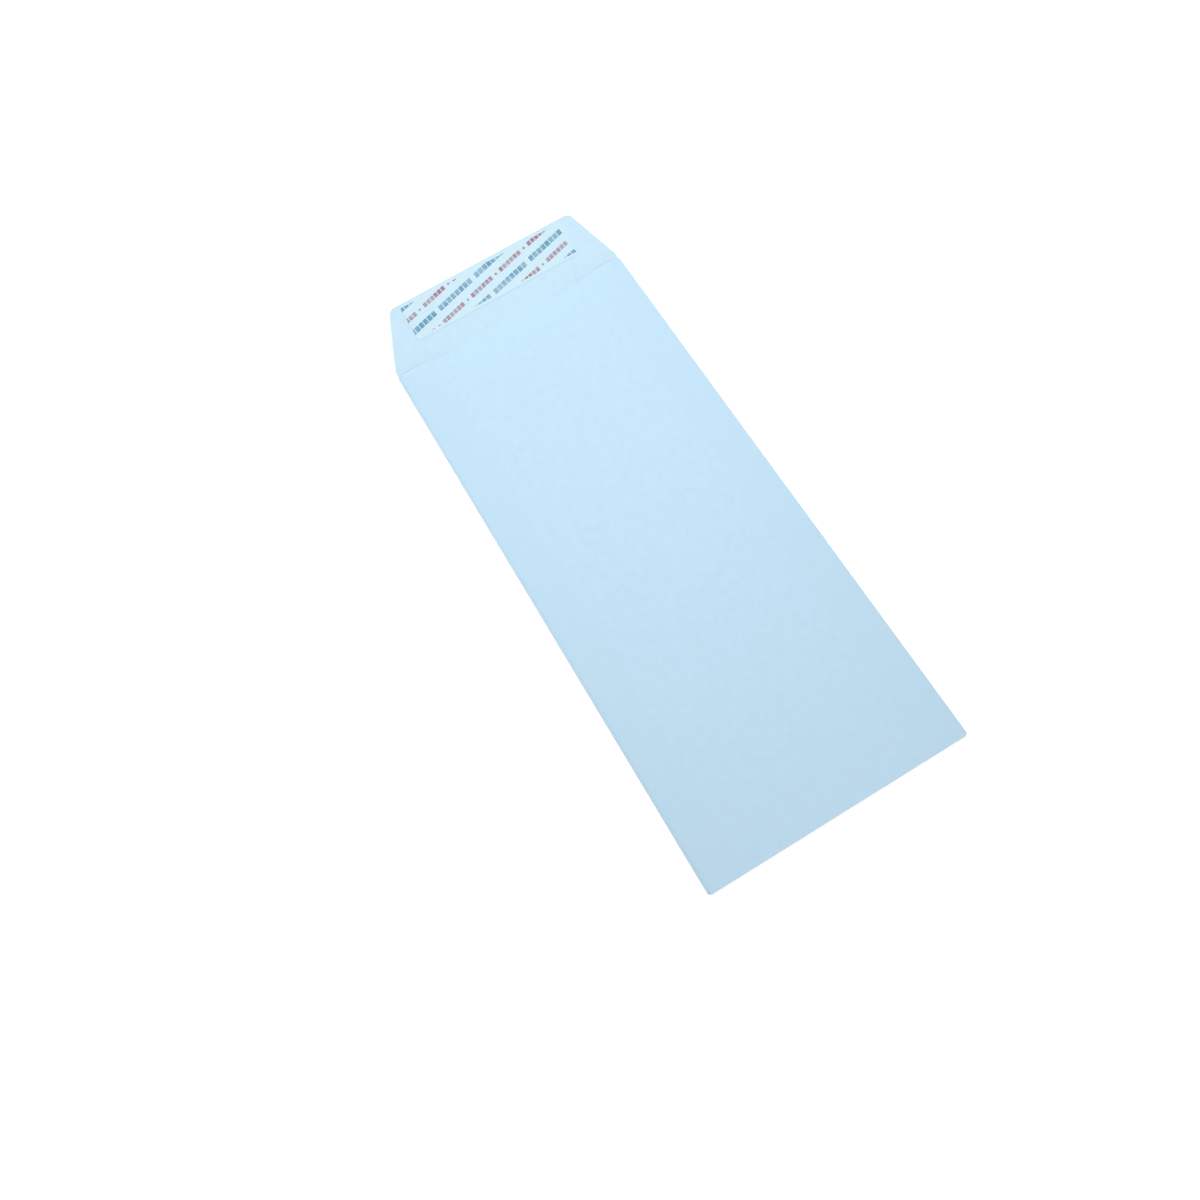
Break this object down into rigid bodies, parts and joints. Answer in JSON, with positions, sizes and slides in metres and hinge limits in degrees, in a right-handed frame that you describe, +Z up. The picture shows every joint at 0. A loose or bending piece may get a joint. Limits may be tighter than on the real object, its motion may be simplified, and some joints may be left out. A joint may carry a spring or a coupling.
{
  "type": "pocket envelope",
  "caption": "Pale blue paper pocket envelope, lying on its front, with its closure flap open and a printed release strip over the flap's adhesive.",
  "frame": {"origin": "middle of the front panel's outer face, which lies on the table", "axes": "+Y along the envelope from the bottom fold to the flap, +X across it, +Z up through the back panel"},
  "size_m": [0.1016, 0.249, 0.0118],
  "materials": {
    "envelope_paper": "matte",
    "dry_gum": "satin",
    "adhesive": "gloss",
    "release_paper": "satin",
    "blue_ink": "satin",
    "red_ink": "satin"
  },
  "bodies": {
    "root": {"folded_sheet": "envelope_paper", "seam_gum": "dry_gum", "adhesive_band": "adhesive", "release_strip": "release_paper", "strip_print_blue": "blue_ink", "strip_print_red": "red_ink"}
  },
  "joints": []
}
